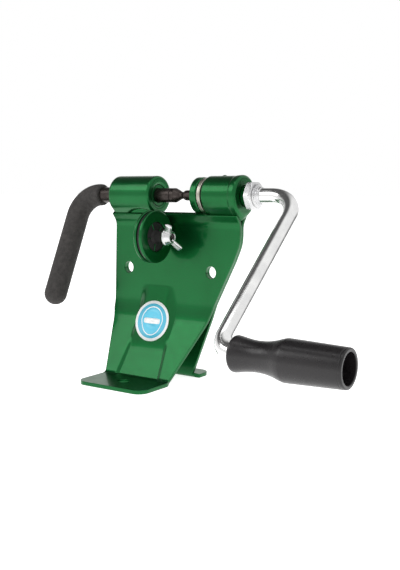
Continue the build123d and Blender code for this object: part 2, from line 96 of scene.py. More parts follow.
class Finish:
    """A material on Object coordinates, built node by node."""

    def __init__(self, name, colour, **sockets):
        self.material = bpy.data.materials.new(name)
        self.material.use_nodes = True
        self.tree = self.material.node_tree
        self.shader = self.tree.nodes["Principled BSDF"]
        self.shader.inputs["Base Color"].default_value = (*colour, 1)
        for socket, value in sockets.items():
            self.shader.inputs[socket.replace("_", " ")].default_value = value
        self.place = self.add("coords").outputs["Object"]

    def add(self, kind, **inputs):
        """A node of one kind, each input given as a value or as another node's output; i0, i1 and so
        on stand for inputs by number."""
        node = self.tree.nodes.new(NODE[kind])
        for key, value in inputs.items():
            numbered = key[0] == "i" and key[1:].isdigit()
            socket = node.inputs[int(key[1:]) if numbered else key]
            if isinstance(value, bpy.types.NodeSocket):
                self.tree.links.new(value, socket)
            else:
                socket.default_value = value
        return node

    def drive(self, socket, output):
        """Feeds a shader input from a node."""
        self.tree.links.new(output, self.shader.inputs[socket])

    def noise(self, scale, detail=3.0, stretch=None):
        """Fine noise of the given number of waves per metre, stretched along the axes if asked."""
        place = self.place
        if stretch:
            place = self.add("mapping", Vector=place, Scale=stretch).outputs[0]
        return self.add("noise", Vector=place, Scale=scale, Detail=detail).outputs[0]

    def spread(self, value, low, high):
        """The 0.3 to 0.7 middle of a noise stretched to low..high."""
        return self.add("range", i0=value, i1=0.3, i2=0.7, i3=low, i4=high).outputs[0]

    def colours(self, value, dark, light):
        """Colour that runs from dark to light over the same middle of a noise."""
        ramp = self.add("ramp", Fac=value)
        ends = ramp.color_ramp.elements
        ends[0].position, ends[1].position = 0.3, 0.7
        ends[0].color, ends[1].color = (*dark, 1), (*light, 1)
        return ramp.outputs[0]

    def grain(self, height, strength, distance):
        """Surface relief of distance metres at full strength."""
        bump = self.add("bump", Height=height, Strength=strength, Distance=distance)
        self.drive("Normal", bump.outputs[0])


def enamel():
    """Deep green stoved enamel: tinted sheen, faint orange peel, slow change of depth."""
    f = Finish("green_enamel", (0.004, 0.125, 0.030), Metallic=0.88, Roughness=0.32, Coat_Weight=0.25,
               Coat_Roughness=0.08)
    f.drive("Base Color", f.colours(f.noise(28, 2), (0.001, 0.097, 0.020), (0.002, 0.112, 0.025)))
    f.drive("Roughness", f.spread(f.noise(160, 3), 0.30, 0.35))
    f.grain(f.noise(420, 2), 0.25, 0.00005)
    return f.material


def blackened():
    """Oil-blackened turned steel: brown-black with fine rings and lighter patches at random."""
    f = Finish("blackened_steel", (0.035, 0.028, 0.026), Metallic=0.85, Roughness=0.33)
    steel = f.colours(f.noise(240, 4), (0.028, 0.022, 0.020), (0.060, 0.050, 0.046))
    f.drive("Base Color", steel)
    f.drive("Roughness", f.spread(f.noise(700, 3, (9, 1, 1)), 0.26, 0.42))
    f.grain(f.noise(900, 2, (6, 1, 1)), 0.12, 0.00005)
    return f.material


def zinc():
    """Bright zinc plate: mirror-like with soft drawn lines and a little clouding."""
    f = Finish("bright_zinc", (0.83, 0.83, 0.82), Metallic=1.0, Roughness=0.14)
    f.drive("Base Color", f.colours(f.noise(90, 4), (0.74, 0.74, 0.74), (0.88, 0.88, 0.87)))
    f.drive("Roughness", f.spread(f.noise(300, 3, (1, 6, 1)), 0.10, 0.20))
    f.grain(f.noise(300, 2), 0.06, 0.00003)
    return f.material


def dull_zinc():
    """Barrel-plated zinc of the nuts: the same metal, tumbled to a soft satin."""
    f = Finish("satin_zinc", (0.72, 0.72, 0.70), Metallic=1.0, Roughness=0.24)
    f.drive("Base Color", f.colours(f.noise(120, 3), (0.50, 0.50, 0.51), (0.66, 0.66, 0.66)))
    f.drive("Roughness", f.spread(f.noise(300, 3), 0.20, 0.30))
    f.grain(f.noise(500, 2), 0.08, 0.00003)
    return f.material


def warm_steel():
    """Bare ground steel of the thrust ring, slightly yellowed by oil."""
    f = Finish("oiled_steel", (0.42, 0.40, 0.34), Metallic=1.0, Roughness=0.34)
    f.drive("Base Color", f.colours(f.noise(90, 3, (6, 1, 1)), (0.34, 0.32, 0.27), (0.50, 0.48, 0.42)))
    f.drive("Roughness", f.spread(f.noise(300, 3), 0.28, 0.42))
    f.grain(f.noise(500, 2), 0.08, 0.00003)
    return f.material


def plastic():
    """Moulded black handle plastic with a soft sheen and fine spark texture."""
    f = Finish("black_plastic", (0.009, 0.008, 0.009), Roughness=0.30, Specular_IOR_Level=0.45)
    f.drive("Base Color", f.colours(f.noise(60, 3), (0.007, 0.006, 0.007), (0.012, 0.010, 0.011)))
    f.drive("Roughness", f.spread(f.noise(400, 4), 0.25, 0.35))
    f.grain(f.noise(2200, 3), 0.18, 0.00005)
    return f.material


def foam():
    """Matte foam-rubber sleeve, finely pitted."""
    f = Finish("black_foam", (0.030, 0.027, 0.026), Roughness=0.78, Specular_IOR_Level=0.4)
    f.drive("Base Color", f.colours(f.noise(300, 5), (0.022, 0.020, 0.019), (0.042, 0.038, 0.036)))
    f.drive("Roughness", f.spread(f.noise(900, 3), 0.66, 0.88))
    f.grain(f.noise(1500, 5), 0.55, 0.0005)
    return f.material


def matte_black():
    """Unpolished black moulding of the hub."""
    f = Finish("black_insert", (0.008, 0.007, 0.007), Roughness=0.6)
    f.drive("Roughness", f.spread(f.noise(300, 3), 0.5, 0.72))
    f.grain(f.noise(1200, 3), 0.2, 0.0003)
    return f.material


def bronze():
    """Sintered bronze, porous and dull."""
    f = Finish("sintered_bronze", (0.42, 0.27, 0.10), Metallic=0.9, Roughness=0.45)
    f.drive("Base Color", f.colours(f.noise(800, 4), (0.30, 0.19, 0.07), (0.50, 0.34, 0.14)))
    f.drive("Roughness", f.spread(f.noise(900, 3), 0.36, 0.56))
    f.grain(f.noise(1800, 3), 0.3, 0.0002)
    return f.material


def vinyl(name, dark, light):
    """Printed label vinyl, faintly mottled under a satin film."""
    f = Finish(name, light, Roughness=0.32, Coat_Weight=0.2, Coat_Roughness=0.2)
    f.drive("Base Color", f.colours(f.noise(120, 3), dark, light))
    f.drive("Roughness", f.spread(f.noise(500, 3), 0.28, 0.38))
    f.grain(f.noise(1600, 2), 0.05, 0.0002)
    return f.material


GREEN, STEEL, ZINC, PLASTIC, FOAM = enamel(), blackened(), zinc(), plastic(), foam()
NUT_ZINC, OILED_STEEL = dull_zinc(), warm_steel()
INSERT, BRONZE = matte_black(), bronze()
WHITE_PRINT = vinyl("label_white", (0.90, 0.90, 0.91), (0.96, 0.96, 0.96))
BLUE_PRINT = vinyl("label_blue", (0.095, 0.50, 0.70), (0.115, 0.56, 0.76))
SLOT_FINISH = {"green_paint": GREEN, "dark_steel": STEEL, "zinc_steel": ZINC, "bronze": BRONZE,
               "black_plastic": PLASTIC, "black_foam": FOAM, "black_insert": INSERT,
               "label_print": WHITE_PRINT}
for part in frame["record"]["subparts"]:
    mesh = frame["nodes"][part["node"]].data
    mesh.materials.clear()
    mesh.materials.append(SLOT_FINISH[part["material_slot"]])


# ------------------------------------------------------------------ mesh makers
def piece(name, points, faces, material, body, nodes=()):
    """A piece from its points (n, 3) in mm and its quads (m, 4); doubled points are merged."""
    mesh = bpy.data.meshes.new(name)
    mesh.from_pydata((np.asarray(points) * MM).tolist(), [], np.asarray(faces).tolist())
    bm = bmesh.new()
    bm.from_mesh(mesh)
    bmesh.ops.remove_doubles(bm, verts=bm.verts, dist=1e-6)
    bmesh.ops.recalc_face_normals(bm, faces=bm.faces)
    bm.to_mesh(mesh)
    bm.free()
    mesh.polygons.foreach_set("use_smooth", np.ones(len(mesh.polygons), bool))
    mesh.materials.append(material)
    shape = bpy.data.objects.new(name, mesh)
    bpy.context.scene.collection.objects.link(shape)
    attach(shape, body)
    if nodes:
        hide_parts(*nodes)
    return shape


def quads(rows, cols, wrap_rows=False, wrap_cols=False, first=0):
    """Quads (m, 4) over a grid of rows x cols points, closed round in either direction if asked."""
    i, j = np.meshgrid(np.arange(rows if wrap_rows else rows - 1),
                       np.arange(cols if wrap_cols else cols - 1), indexing="ij")
    i2, j2 = (i + 1) % rows, (j + 1) % cols
    return first + np.stack([i * cols + j, i2 * cols + j, i2 * cols + j2, i * cols + j2], -1).reshape(-1, 4)


def softened(points, radius, steps=5, closed=False):
    """Line through points whose corners are rounded: each corner becomes a parabola that touches
    both sides at a distance radius from it (or 0.45 of the side, if that is less)."""
    p = np.asarray(points, float)
    before, after = np.roll(p, 1, 0), np.roll(p, -1, 0)
    a, b = before - p, after - p
    la, lb = (np.maximum(np.linalg.norm(v, axis=1, keepdims=True), 1e-9) for v in (a, b))
    r = np.broadcast_to(np.asarray(radius, float).reshape(-1, 1), la.shape)
    start, end = p + a / la * np.minimum(r, la * 0.45), p + b / lb * np.minimum(r, lb * 0.45)
    t = np.linspace(0, 1, steps)[None, :, None]
    curve = (1 - t) ** 2 * start[:, None] + 2 * t * (1 - t) * p[:, None] + t ** 2 * end[:, None]
    # A point just outside each end of the corner holds the flats flat.
    hold = 0.35
    lead = start + a / la * np.minimum(r * hold, la * 0.04)
    trail = end + b / lb * np.minimum(r * hold, lb * 0.04)
    rounded = np.concatenate([lead[:, None], curve, trail[:, None]], 1)
    if closed:
        return rounded.reshape(-1, p.shape[1])
    return np.concatenate([p[:1], rounded[1:-1].reshape(-1, p.shape[1]), p[-1:]])


def flowing(points, per_span=6):
    """Catmull-Rom curve through (n, 2) points: each span is the cubic whose end slopes are half the
    chord between the neighbours."""
    p = np.asarray(points, float)
    q = np.concatenate([2 * p[:1] - p[1:2], p, 2 * p[-1:] - p[-2:-1]])
    t = np.linspace(0, 1, per_span, endpoint=False)[None, :, None]
    p0, p1, p2, p3 = (q[k:len(q) - 3 + k, None] for k in range(4))
    span = 0.5 * (2 * p1 + (p2 - p0) * t + (2 * p0 - 5 * p1 + 4 * p2 - p3) * t ** 2
                  + (3 * p1 - p0 - 3 * p2 + p3) * t ** 3)
    return np.concatenate([span.reshape(-1, 2), p[-1:]])


def revolved(profile, y, z, turns=96, shape=None):
    """Points (n, turns, 3): each (x, r) of the profile turned about the line along X through (y, z).
    shape(x, r, angle) may give another radius; the angle is 0 at +Y and 90 degrees at +Z."""
    profile = np.asarray(profile, float)
    angle = np.linspace(0, 2 * np.pi, turns, endpoint=False)[None, :]
    x = np.broadcast_to(profile[:, :1], (len(profile), turns))
    r = np.broadcast_to(profile[:, 1:], (len(profile), turns))
    if shape is not None:
        r = shape(x, r, angle)
    return np.stack([x, y + r * np.cos(angle), z + r * np.sin(angle)], -1)


def turned(name, profile, material, slot, body, nodes=(), y=None, z=None, radius=0.4, turns=96,
           ring=False, shape=None, smooth=True):
    """A lathe piece. A ring's profile is a closed loop; any other starts and ends on the axis."""
    y, z = (AXIS_Y if y is None else y), (AXIS_Z if z is None else z)
    line = softened(profile, radius, closed=ring) if smooth else np.asarray(profile, float)
    grid = revolved(line, y, z, turns, shape)
    faces = quads(len(line), turns, wrap_rows=ring, wrap_cols=True)
    return piece(name, grid.reshape(-1, 3), faces, material, body, nodes)


def ring_profile(x0, x1, r_out, r_in):
    return [(x0, r_in), (x0, r_out), (x1, r_out), (x1, r_in)]


# ------------------------------------------------------------------ pressed sheets
def half_right(z):
    """Right edge of both sheets at height z."""
    return np.interp(z, [0, 3, 50, 62.4, 98, 105, 109.5, 114, 119, 141.5],
                     [32, 32, 51, 55.3, 73.2, 76.2, 78.0, 79.1, 79.5, 79.5])


def half_left(z):
    """Left edge of both sheets at height z."""
    return np.interp(z, [0, 3, 53, 127.5, 141.5], [-33.3, -33.3, -46.9, -44.6, -44.6])


def run_of(line, radii):
    """Sheet line in the YZ plane with round bends: the length along it at each of its points, and
    the points (n, 2)."""
    pts = softened(line, radii, steps=14)
    length = np.concatenate([[0], np.cumsum(np.linalg.norm(np.diff(pts, axis=0), axis=1))])
    return length, pts


def pad_push(x, y, z):
    """How the pressed panel moves the front sheet: inside a trapezium (seen from the front) the sheet
    eases over to the nearer of two planes, one bridging the bend and one sunk PAD_DEPTH behind the
    leg; the walls are soft where the panel stands proud and firm where it is sunk."""
    bridge = MID_FRONT - np.maximum(PAD_TOP_Z - z, 0) * np.tan(PAD_TILT)
    leg = TOE_Y + (MID_FRONT - TOE_Y) * np.clip((z - SHEET / 2) / (BEND_Z - SHEET / 2), 0, 2)
    gap = leg + PAD_DEPTH - bridge
    plane = bridge + 0.5 * (gap - np.sqrt(gap ** 2 + np.interp(z, [20, 30], [5.0, 0.5])))
    half = np.interp(z, [SHEET, PAD_TOP_Z], [PAD_HALF_TOE, PAD_HALF_TOP])
    wall = np.interp(z, [20, 44, 62], [3.0, 5.5, 10.0])
    inside = np.clip((half - np.abs(x)) / wall + 0.5, 0, 1)
    ease = inside ** 2 * (3 - 2 * inside)
    top = np.clip((PAD_TOP_Z - z) / 1.2, 0, 1)
    return np.where((z > SHEET * 0.62) & (z < PAD_TOP_Z), (plane - y) * ease * top, 0.0)


HOLE_BORDER = 3.2        # how far past a hole its block of the grid reaches


def pressed(name, line, radii, foot_half, holes, node, push=None, step=1.15, columns=104):
    """A pressed sheet: P(u, s) = (left(z) + u (right(z) - left(z)), y(s), z(s)) plus the panel's push,
    where s runs along the bent line from the foot's free edge to the lip. Round holes are cut by
    replacing a block of the grid with rings that run from the block's border to the circle."""
    length, pts = run_of(line, radii)
    corner = FOOT_CORNER * (1 - np.cos(np.linspace(0, np.pi / 2, 9)))
    s = np.concatenate([corner, np.arange(FOOT_CORNER + step, length[-1] - step / 2, step), length[-1:]])
    u = np.linspace(0, 1, columns)[None, :]

    def at(x, run):
        y, z = np.interp(run, length, pts[:, 0]), np.interp(run, length, pts[:, 1])
        y = y + (push(x, y, z) if push else 0)
        return np.stack([x, np.broadcast_to(y, x.shape), np.broadcast_to(z, x.shape)], -1)

    z_row = np.interp(s, length, pts[:, 1])[:, None]
    foot_half = foot_half - FOOT_CORNER + np.sqrt(
        np.maximum(FOOT_CORNER ** 2 - np.maximum(FOOT_CORNER - s, 0) ** 2, 0))[:, None]
    on_foot = 1 - np.clip((z_row - SHEET / 2) / 1.2, 0, 1)
    left = half_left(z_row) * (1 - on_foot) - foot_half * on_foot
    right = half_right(z_row) * (1 - on_foot) + foot_half * on_foot
    x = left + u * (right - left)
    run = np.broadcast_to(s[:, None], x.shape)
    points, rows = at(x, run).reshape(-1, 3), len(s)
    keep = np.ones((rows - 1, columns - 1), bool)
    faces, extra, count = [], [], len(points)
    for hx, hs, hr in holes:
        near_s = np.abs(s - hs) < hr + HOLE_BORDER
        i0, i1 = np.flatnonzero(near_s)[[0, -1]]
        near_x = np.abs(x[(i0 + i1) // 2] - hx) < hr + HOLE_BORDER
        j0, j1 = np.flatnonzero(near_x)[[0, -1]]
        keep[i0:i1, j0:j1] = False
        loop_i = np.concatenate([np.full(j1 - j0, i0), np.arange(i0, i1), np.full(j1 - j0, i1),
                                 np.arange(i1, i0, -1)])
        loop_j = np.concatenate([np.arange(j0, j1), np.full(i1 - i0, j1), np.arange(j1, j0, -1),
                                 np.full(i1 - i0, j0)])
        edge = np.stack([x[loop_i, loop_j], s[loop_i]], -1)
        away = edge - (hx, hs)
        circle = (hx, hs) + away / np.linalg.norm(away, axis=1, keepdims=True) * hr
        share = np.array([0, 0.3, 0.6, 0.85, 1.0])[:, None, None]
        rings = edge * (1 - share) + circle * share
        extra.append(at(rings[..., 0], rings[..., 1]).reshape(-1, 3))
        faces.append(quads(len(share), len(edge), wrap_cols=True, first=count))
        count += len(extra[-1])
    faces.append(quads(rows, columns)[keep.reshape(-1)])
    faces, points = np.concatenate(faces), np.concatenate([points, *extra])
    used, faces = np.unique(faces, return_inverse=True)
    sheet = piece(name, points[used], faces.reshape(-1, 4), GREEN, "frame", (node,))
    thick = sheet.modifiers.new("thickness", "SOLIDIFY")
    thick.thickness, thick.offset, thick.use_even_offset = SHEET * MM, 0, True
    bevel = sheet.modifiers.new("edge", "BEVEL")
    bevel.width, bevel.segments = 0.0004, 2
    bevel.limit_method, bevel.angle_limit = "ANGLE", np.radians(50)
    return sheet


front_line = [(FRONT_LO[1], SHEET / 2), (TOE_Y, SHEET / 2), (MID_FRONT, BEND_Z),
              (MID_FRONT, TOP_Z - LIP_RISE), (MID_FRONT - LIP_OUT, TOP_Z)]
rear_line = [(REAR_HI[1], SHEET / 2), (MID_REAR, SHEET / 2), (MID_REAR, TOP_Z - LIP_RISE),
             (MID_REAR + LIP_OUT, TOP_Z)]


def run_to(line, radii, axis, value, after):
    """Length along the bent line at which its y (axis 0) or z (axis 1) first passes value beyond after."""
    length, pts = run_of(line, radii)
    dense = np.linspace(after, length[-1], 4000)
    return dense[np.argmin(np.abs(np.interp(dense, length, pts[:, axis]) - value))]


FRONT_BENDS, REAR_BENDS = [0, 4, 12, 4, 0], [0, 3, 4, 0]
front_run = run_to(front_line, FRONT_BENDS, 1, WALL_HOLE_Z, 60)
rear_run = run_to(rear_line, REAR_BENDS, 1, WALL_HOLE_Z, 40)
pressed("front_sheet", front_line, FRONT_BENDS, FRONT_FOOT_HALF,
        [(0, -FRONT_LO[1], HOLE_R)] + [(hx, front_run, HOLE_R) for hx in WALL_HOLES],
        "front_plate", pad_push)
pressed("rear_sheet", rear_line, REAR_BENDS, REAR_FOOT_HALF,
        [(0, REAR_HI[1] - REAR_HOLE_Y, HOLE_R)] + [(hx, rear_run, HOLE_R) for hx in WALL_HOLES],
        "rear_plate", step=1.6, columns=84)


# ------------------------------------------------------------------ barrels
NOTCH_X, NOTCH_Z, NOTCH_R = -13.5, 112.0, 27.0
SPRING = np.radians(45)   # angle below the horizontal at which the cradle leaves the barrel
RECESS = 6.6              # depth of the scallop's flat in front of the spindles
LEFT_DROP, RIGHT_DROP = 20.5, 21.5    # depth of the cradle's foot below the spindles
LEFT_BORE, LEFT_R, RIGHT_BORE, RIGHT_R = 8.8, 16.0, 8.1, 15.5
RIGHT_SEAT_X = 54.6       # where the right cradle begins


def cradled(x, r, angle, bore, outer, drop, begin, end, taper):
    """Radius of a barrel with its cradle: below SPRING the surface follows the tangent plane there,
    r / cos(angle past SPRING), down to a flat foot drop below the axis; it fades out over taper before
    its end and the bore stays round."""
    below = np.arcsin(np.clip(-np.sin(angle), -1, 1))
    tangent = 1 / np.cos(np.clip(below - SPRING, 0, 1.2))
    foot = drop / outer / np.maximum(np.sin(below), 0.05)
    grown = (tangent ** -14.0 + np.maximum(foot, 1.0) ** -14.0) ** (-1 / 14.0)
    grown = np.maximum(grown, 1.0)
    fade = np.clip((end - x) / taper, 0, 1)
    share = np.clip((r - bore) / (outer - bore), 0, 1) * (x >= begin) * fade ** 0.8
    return r * (1 + (grown - 1) * share)


def scalloped(x, r, angle):
    """Radius left under the scallop: the farther of the distances along the ray to the scallop's
    roof and to the flat at its back."""
    reach = np.sqrt(np.maximum(NOTCH_R ** 2 - (x - NOTCH_X) ** 2, 0))
    roof = AXIS_Z - (NOTCH_Z + reach)
    down, ahead = np.maximum(-np.sin(angle), 1e-6), np.maximum(-np.cos(angle), 1e-6)
    cut = np.maximum(roof / down, RECESS / ahead)
    cut = np.where((reach > 0) & (np.sin(angle) < 0) & (np.cos(angle) < 0), cut, 99.0)
    return (np.maximum(r, 0.1) ** -30.0 + cut ** -30.0) ** (-1 / 30.0)


def left_shape(x, r, angle):
    return scalloped(x, cradled(x, r, angle, LEFT_BORE, LEFT_R, LEFT_DROP, LB_LO[0],
                                      LB_HI[0] - 1.6, 0.5), angle)


def right_shape(x, r, angle):
    return cradled(x, r, angle, RIGHT_BORE, RIGHT_R, RIGHT_DROP, RIGHT_SEAT_X, RB_HI[0] - 0.2, 5.5)


def barrel(name, start, end, bore, rim, corner, shape, node, turns=240):
    """A barrel along X from its bore out over rounded ends; rim is its (x, r) outline."""
    line = softened([(start, bore)] + rim + [(end, bore)], corner, closed=True)
    long = np.abs(np.diff(line[:, 0], append=line[:1, 0])) > 3
    dense = []
    for k in range(len(line)):
        a, b = line[k], line[(k + 1) % len(line)]
        count = max(1, int(abs(b[0] - a[0]) / 0.8)) if long[k] and a[1] > bore + 1 else 1
        dense.append(a + (b - a) * np.linspace(0, 1, count, endpoint=False)[:, None])
    line = np.concatenate(dense)
    grid = revolved(line, AXIS_Y, AXIS_Z, turns, shape)
    return piece(name, grid.reshape(-1, 3), quads(len(line), turns, True, True), GREEN,
                 "frame", (node,))


barrel("left_barrel_skin", LB_LO[0], LB_HI[0], LEFT_BORE, [(LB_LO[0], LEFT_R), (LB_HI[0], LEFT_R)], 2.2,
       left_shape, "left_barrel")
barrel("right_barrel_skin", RB_LO[0], RB_HI[0], RIGHT_BORE,
       [(RB_LO[0], RIGHT_R), (54.5, RIGHT_R), (54.7, RIGHT_R), (RB_HI[0] - 7.0, RIGHT_R),
        (RB_HI[0] - 6.0, 15.9),
        (RB_HI[0], 16.2)], [1.4, 1.4, 0, 0, 1.4, 1.4, 2.6, 1.0], right_shape, "right_barrel")
turned("feed_bush_face", ring_profile(LB_LO[0] + 1, LB_HI[0] - 0.9, 8.75, 6.0), GREEN, "dark_steel",
       "frame", ("feed_bush",), ring=True)
turned("bush_flange", ring_profile(RB_HI[0] - 12, RB_HI[0] + 4.0, 7.9, 5.1), GREEN, "bronze", "frame",
       ("outer_bush",), ring=True)

OIL_LO, OIL_HI = box_mm("oil_cup")


def oil_nub():
    """Low dome over the oil hole: height falls with the cosine of the way out from its middle."""
    out = np.linspace(0, 1, 12)[:, None]
    a = np.linspace(0, 2 * np.pi, 40, endpoint=False)[None, :]
    x, y = (OIL_LO[0] + OIL_HI[0]) / 2 + 2.4 * out * np.cos(a), AXIS_Y + 2.4 * out * np.sin(a)
    z = RB_HI[2] - 1.5 + 1.2 * np.cos(out * np.pi / 2) ** 0.6 + 0 * a
    return piece("oil_nub", np.stack([x, y, z], -1).reshape(-1, 3), quads(12, 40, wrap_cols=True), GREEN,
                 "frame", ("oil_cup",))


oil_nub()

# ------------------------------------------------------------------ feed screw, punch and spinner
PUNCH_X, PUNCH_TIP = PUNCH_LO[0], PUNCH_HI[0]
turned("feed_spindle_turned", [(SPINDLE_LO[0], 0), (SPINDLE_LO[0], 4.0), (-44.0, 4.0), (-44.0, SPINDLE_R),
                               (PUNCH_X - 0.3, SPINDLE_R), (PUNCH_X - 0.3, 0)],
       STEEL, "dark_steel", "screw", ("feed_spindle",), radius=0.5)
turned("punch_turned", [(PUNCH_X, 0), (PUNCH_X, SPINDLE_R), (PUNCH_X + 3.6, SPINDLE_R),
                        (PUNCH_X + 8.2, 3.7),
                        (PUNCH_X + 8.6, 3.2), (PUNCH_TIP, 2.8), (PUNCH_TIP, 0)],
       STEEL, "dark_steel", "punch", ("punch",), radius=0.4)


def fluted(x, r, angle):
    """Four shallow flutes ground into the spinner's nose, fading out along it."""
    fade = np.clip((31.0 - x) / 5.0, 0, 1)
    return r * (1 - 0.10 * fade * np.abs(np.sin(2 * angle)) ** 1.5)


turned("spinner_nose", [(25.0, 0), (25.0, 2.9), (25.8, 3.9), (27.6, 4.2), (31.6, 4.2), (32.4, 4.1),
                        (32.98, 4.2), (40.0, 2.4), (40.0, 0)],
       STEEL, "dark_steel", "spinner", ("spinner_tip",), radius=0.4, turns=128, shape=fluted)
COLLAR_LO, COLLAR_HI = box_mm("drive_collar")
COLLAR_R = 14.6
turned("drive_collar_turned", ring_profile(COLLAR_LO[0], COLLAR_HI[0], COLLAR_R, SHAFT_FIT), GREEN,
       "green_paint", "spinner", ("drive_collar",), radius=1.1, ring=True, turns=144)
turned("thrust_ring_turned", ring_profile(46.1, 49.4, 14.3, SHAFT_FIT), OILED_STEEL, "zinc_steel",
       "spinner", ("thrust_ring",), radius=0.5, ring=True, turns=144)


# ------------------------------------------------------------------ nut and its boss
def hexagon(x, r, angle):
    """Hexagon of half width r with slightly rounded corners: a high norm of the six flats' reach,
    cut by the chamfer cone at either face."""
    flats = np.arange(6)[:, None, None] * np.pi / 3 + np.pi / 6
    reach = np.maximum(np.cos(angle[None] - flats), 0) ** 160
    hexed = r * reach.sum(0) ** (-1 / 160)
    inner, outer = x - NUT_LO[0], NUT_HI[0] - x
    cone = 10.3 + 1.9 * np.clip(np.minimum(inner / 0.6, outer / 1.7), 0, 1)
    return np.where(r > 6, (hexed ** -40.0 + cone ** -40.0) ** (-1 / 40.0), r)


nut_x = np.concatenate([[NUT_LO[0]], np.linspace(NUT_LO[0], NUT_LO[0] + 0.7, 5),
                        np.linspace(NUT_LO[0] + 1.2, NUT_HI[0] - 1.9, 5),
                        np.linspace(NUT_HI[0] - 1.7, NUT_HI[0], 8), [NUT_HI[0]]])
nut_r = np.concatenate([[5.03], np.full(len(nut_x) - 2, 10.5), [5.03]])
turned("lock_nut_hex", np.stack([nut_x, nut_r], -1), NUT_ZINC, "zinc_steel", "spinner", ("lock_nut",),
       ring=True, turns=240, shape=hexagon, smooth=False)
turned("crank_boss", [(93.0, 5.05), (93.0, 8.8), (94.6, 8.8), (95.0, 7.4), (96.0, 7.4), (96.2, 6.9),
                      (97.6, 6.7), (98.2, 6.05)], NUT_ZINC, "zinc_steel", "spinner", ("crank_collar",),
       radius=0.35, ring=True)


# ------------------------------------------------------------------ bent rods, sleeve and grip
def bent(corners, radii, per_bend=40):
    """Straight runs joined by true arcs: at each corner the arc's centre lies on the bisector, and
    a point turns from one tangent point to the other. Returns the points (n, 3)."""
    p = np.asarray(corners, float)
    out = [p[:1]]
    radii = np.broadcast_to(radii, len(p) - 2)
    for a, b, c, radius in zip(p, p[1:], p[2:], radii):
        u, v = (b - a) / np.linalg.norm(b - a), (c - b) / np.linalg.norm(c - b)
        turn = np.arccos(np.clip(u @ v, -1, 1))
        reach = radius * np.tan(turn / 2)
        side = v - u * (u @ v)
        side /= np.linalg.norm(side)
        t = np.linspace(0, turn, per_bend)[:, None]
        out.append(b - u * reach + radius * (np.sin(t) * u + (1 - np.cos(t)) * side))
    return np.concatenate(out + [p[-1:]])


def swept(name, corners, bend, knots, across, material, body, nodes, turns=64, step=2.0):
    """Round bar along a bent path in one plane, whose normal is across. knots are (length, radius)
    pairs along the path; each ring is centre + r (cos a across + sin a (tangent x across))."""
    path = bent(corners, bend)
    length = np.concatenate([[0], np.cumsum(np.linalg.norm(np.diff(path, axis=0), axis=1))])
    knots = np.asarray([(k if k >= 0 else length[-1] + k, r) for k, r in knots], float)
    knots[-1, 0] = length[-1]
    s = np.unique(np.concatenate([knots[:, 0], np.arange(0, length[-1], step)]))
    centre = np.stack([np.interp(s, length, path[:, k]) for k in range(3)], -1)
    ahead = np.stack([np.interp(np.minimum(s + 0.4, length[-1]), length, path[:, k])
                      - np.interp(np.maximum(s - 0.4, 0), length, path[:, k]) for k in range(3)], -1)
    ahead /= np.linalg.norm(ahead, axis=1, keepdims=True)
    across = np.asarray(across, float)
    other = np.cross(ahead, across)
    r = np.interp(s, knots[:, 0], knots[:, 1])[:, None, None]
    a = np.linspace(0, 2 * np.pi, turns, endpoint=False)[None, :, None]
    grid = centre[:, None] + r * (np.cos(a) * across + np.sin(a) * other[:, None])
    return piece(name, grid.reshape(-1, 3), quads(len(s), turns, wrap_cols=True), material, body,
                 nodes)


def round_end(r, run, start, steps=9):
    """Knots of a rounded end: radius grows as a quarter ellipse over the first run mm."""
    t = np.linspace(0, np.pi / 2, steps)
    return [(start + run * (1 - np.cos(k)), r * np.sin(k)) for k in t]


HANDLE_X, HANDLE_TILT, HANDLE_LEN, HANDLE_BEND = -84.7, np.radians(24), 92.0, 20.0
CRANK_X, CRANK_TILT, CRANK_BENDS = 130.0, np.radians(49), (24.0, 13.0)


def down_arm(tilt):
    """Direction of an arm that hangs forward by the tilt: (0, -sin, -cos)."""
    return np.array([0, -np.sin(tilt), -np.cos(tilt)])


def axis_point(x):
    return np.array([x, AXIS_Y, AXIS_Z])


handle_end = axis_point(HANDLE_X) + down_arm(HANDLE_TILT) * HANDLE_LEN
across_handle = np.cross((1, 0, 0), down_arm(HANDLE_TILT))
swept("handle_rod_bar", [axis_point(-44.3), axis_point(HANDLE_X), handle_end], HANDLE_BEND,
      [(0, 0), (0.01, 5.6), (0.4, BAR_R), (4.2, BAR_R), (4.6, 6.5), (5.2, 6.6), (-0.01, 6.6), (0, 0)],
      across_handle, STEEL, "screw", ("handle_rod",), turns=72)
SLEEVE_R = 9.6
sleeve_tip = handle_end + down_arm(HANDLE_TILT) * SLEEVE_R
dome = [(-k, r) for k, r in round_end(SLEEVE_R, SLEEVE_R, 0.0)[::-1]]
swept("foam_sleeve", [axis_point(SLEEVE_HI[0]), axis_point(HANDLE_X), sleeve_tip], HANDLE_BEND,
      [(0, 6.4), (0.01, 7.6), (0.35, 8.6), (1.2, 9.1), (3, 9.3), (16, 9.45), (40, 9.6)] + dome,
      across_handle, FOAM, "screw", ("handle_sleeve",), turns=96, step=1.5)

crank_turn = axis_point(CRANK_X)
grip_turn = np.array([CRANK_X, GRIP_Y, GRIP_Z])
swept("crank_bar", [axis_point(97.0), crank_turn, grip_turn, (ROD_HI[0], GRIP_Y, GRIP_Z)], CRANK_BENDS,
      [(0, 0), (0.01, 5.6), (0.6, BAR_R), (-1.0, BAR_R), (-0.01, 5.4), (0, 0)],
      np.cross((1, 0, 0), down_arm(CRANK_TILT)), ZINC, "spinner", ("crank_rod",), turns=72)

